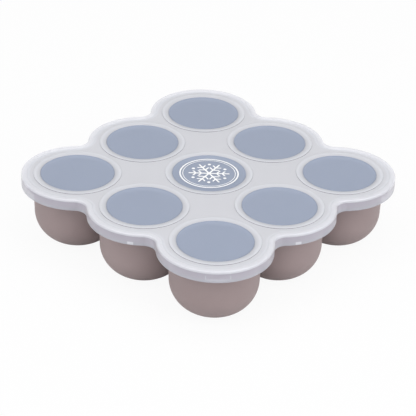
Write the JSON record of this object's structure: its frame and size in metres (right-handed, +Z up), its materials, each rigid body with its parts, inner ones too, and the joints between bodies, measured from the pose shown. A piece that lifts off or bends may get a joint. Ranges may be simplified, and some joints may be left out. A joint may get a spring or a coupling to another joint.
{
  "type": "baby food freezer tray",
  "caption": "Soft square freezer tray of deep round cups under a lobed flange, with a thin frosted clip-on lid.",
  "frame": {"origin": "on the table, under the centre of the middle cup", "axes": "+Z up, +X and +Y along the two rows of cups"},
  "size_m": [0.2052, 0.2052, 0.0506],
  "materials": {
    "silicone": "satin, soft to the touch",
    "frosted_lid": "frosted, milky and translucent, with clearer round windows"
  },
  "bodies": {
    "tray": {"flange": "silicone", "cup_front_left": "silicone", "cup_front_middle": "silicone", "cup_front_right": "silicone", "cup_middle_left": "silicone", "cup_centre": "silicone", "cup_middle_right": "silicone", "cup_back_left": "silicone", "cup_back_middle": "silicone", "cup_back_right": "silicone"},
    "lid": {"clip_lid": "frosted_lid"}
  },
  "joints": [
    {"name": "lid_lift", "type": "slide", "parent": "tray", "child": "lid", "axis": [0, 0, 1], "range_m": [0, 0.08]}
  ]
}
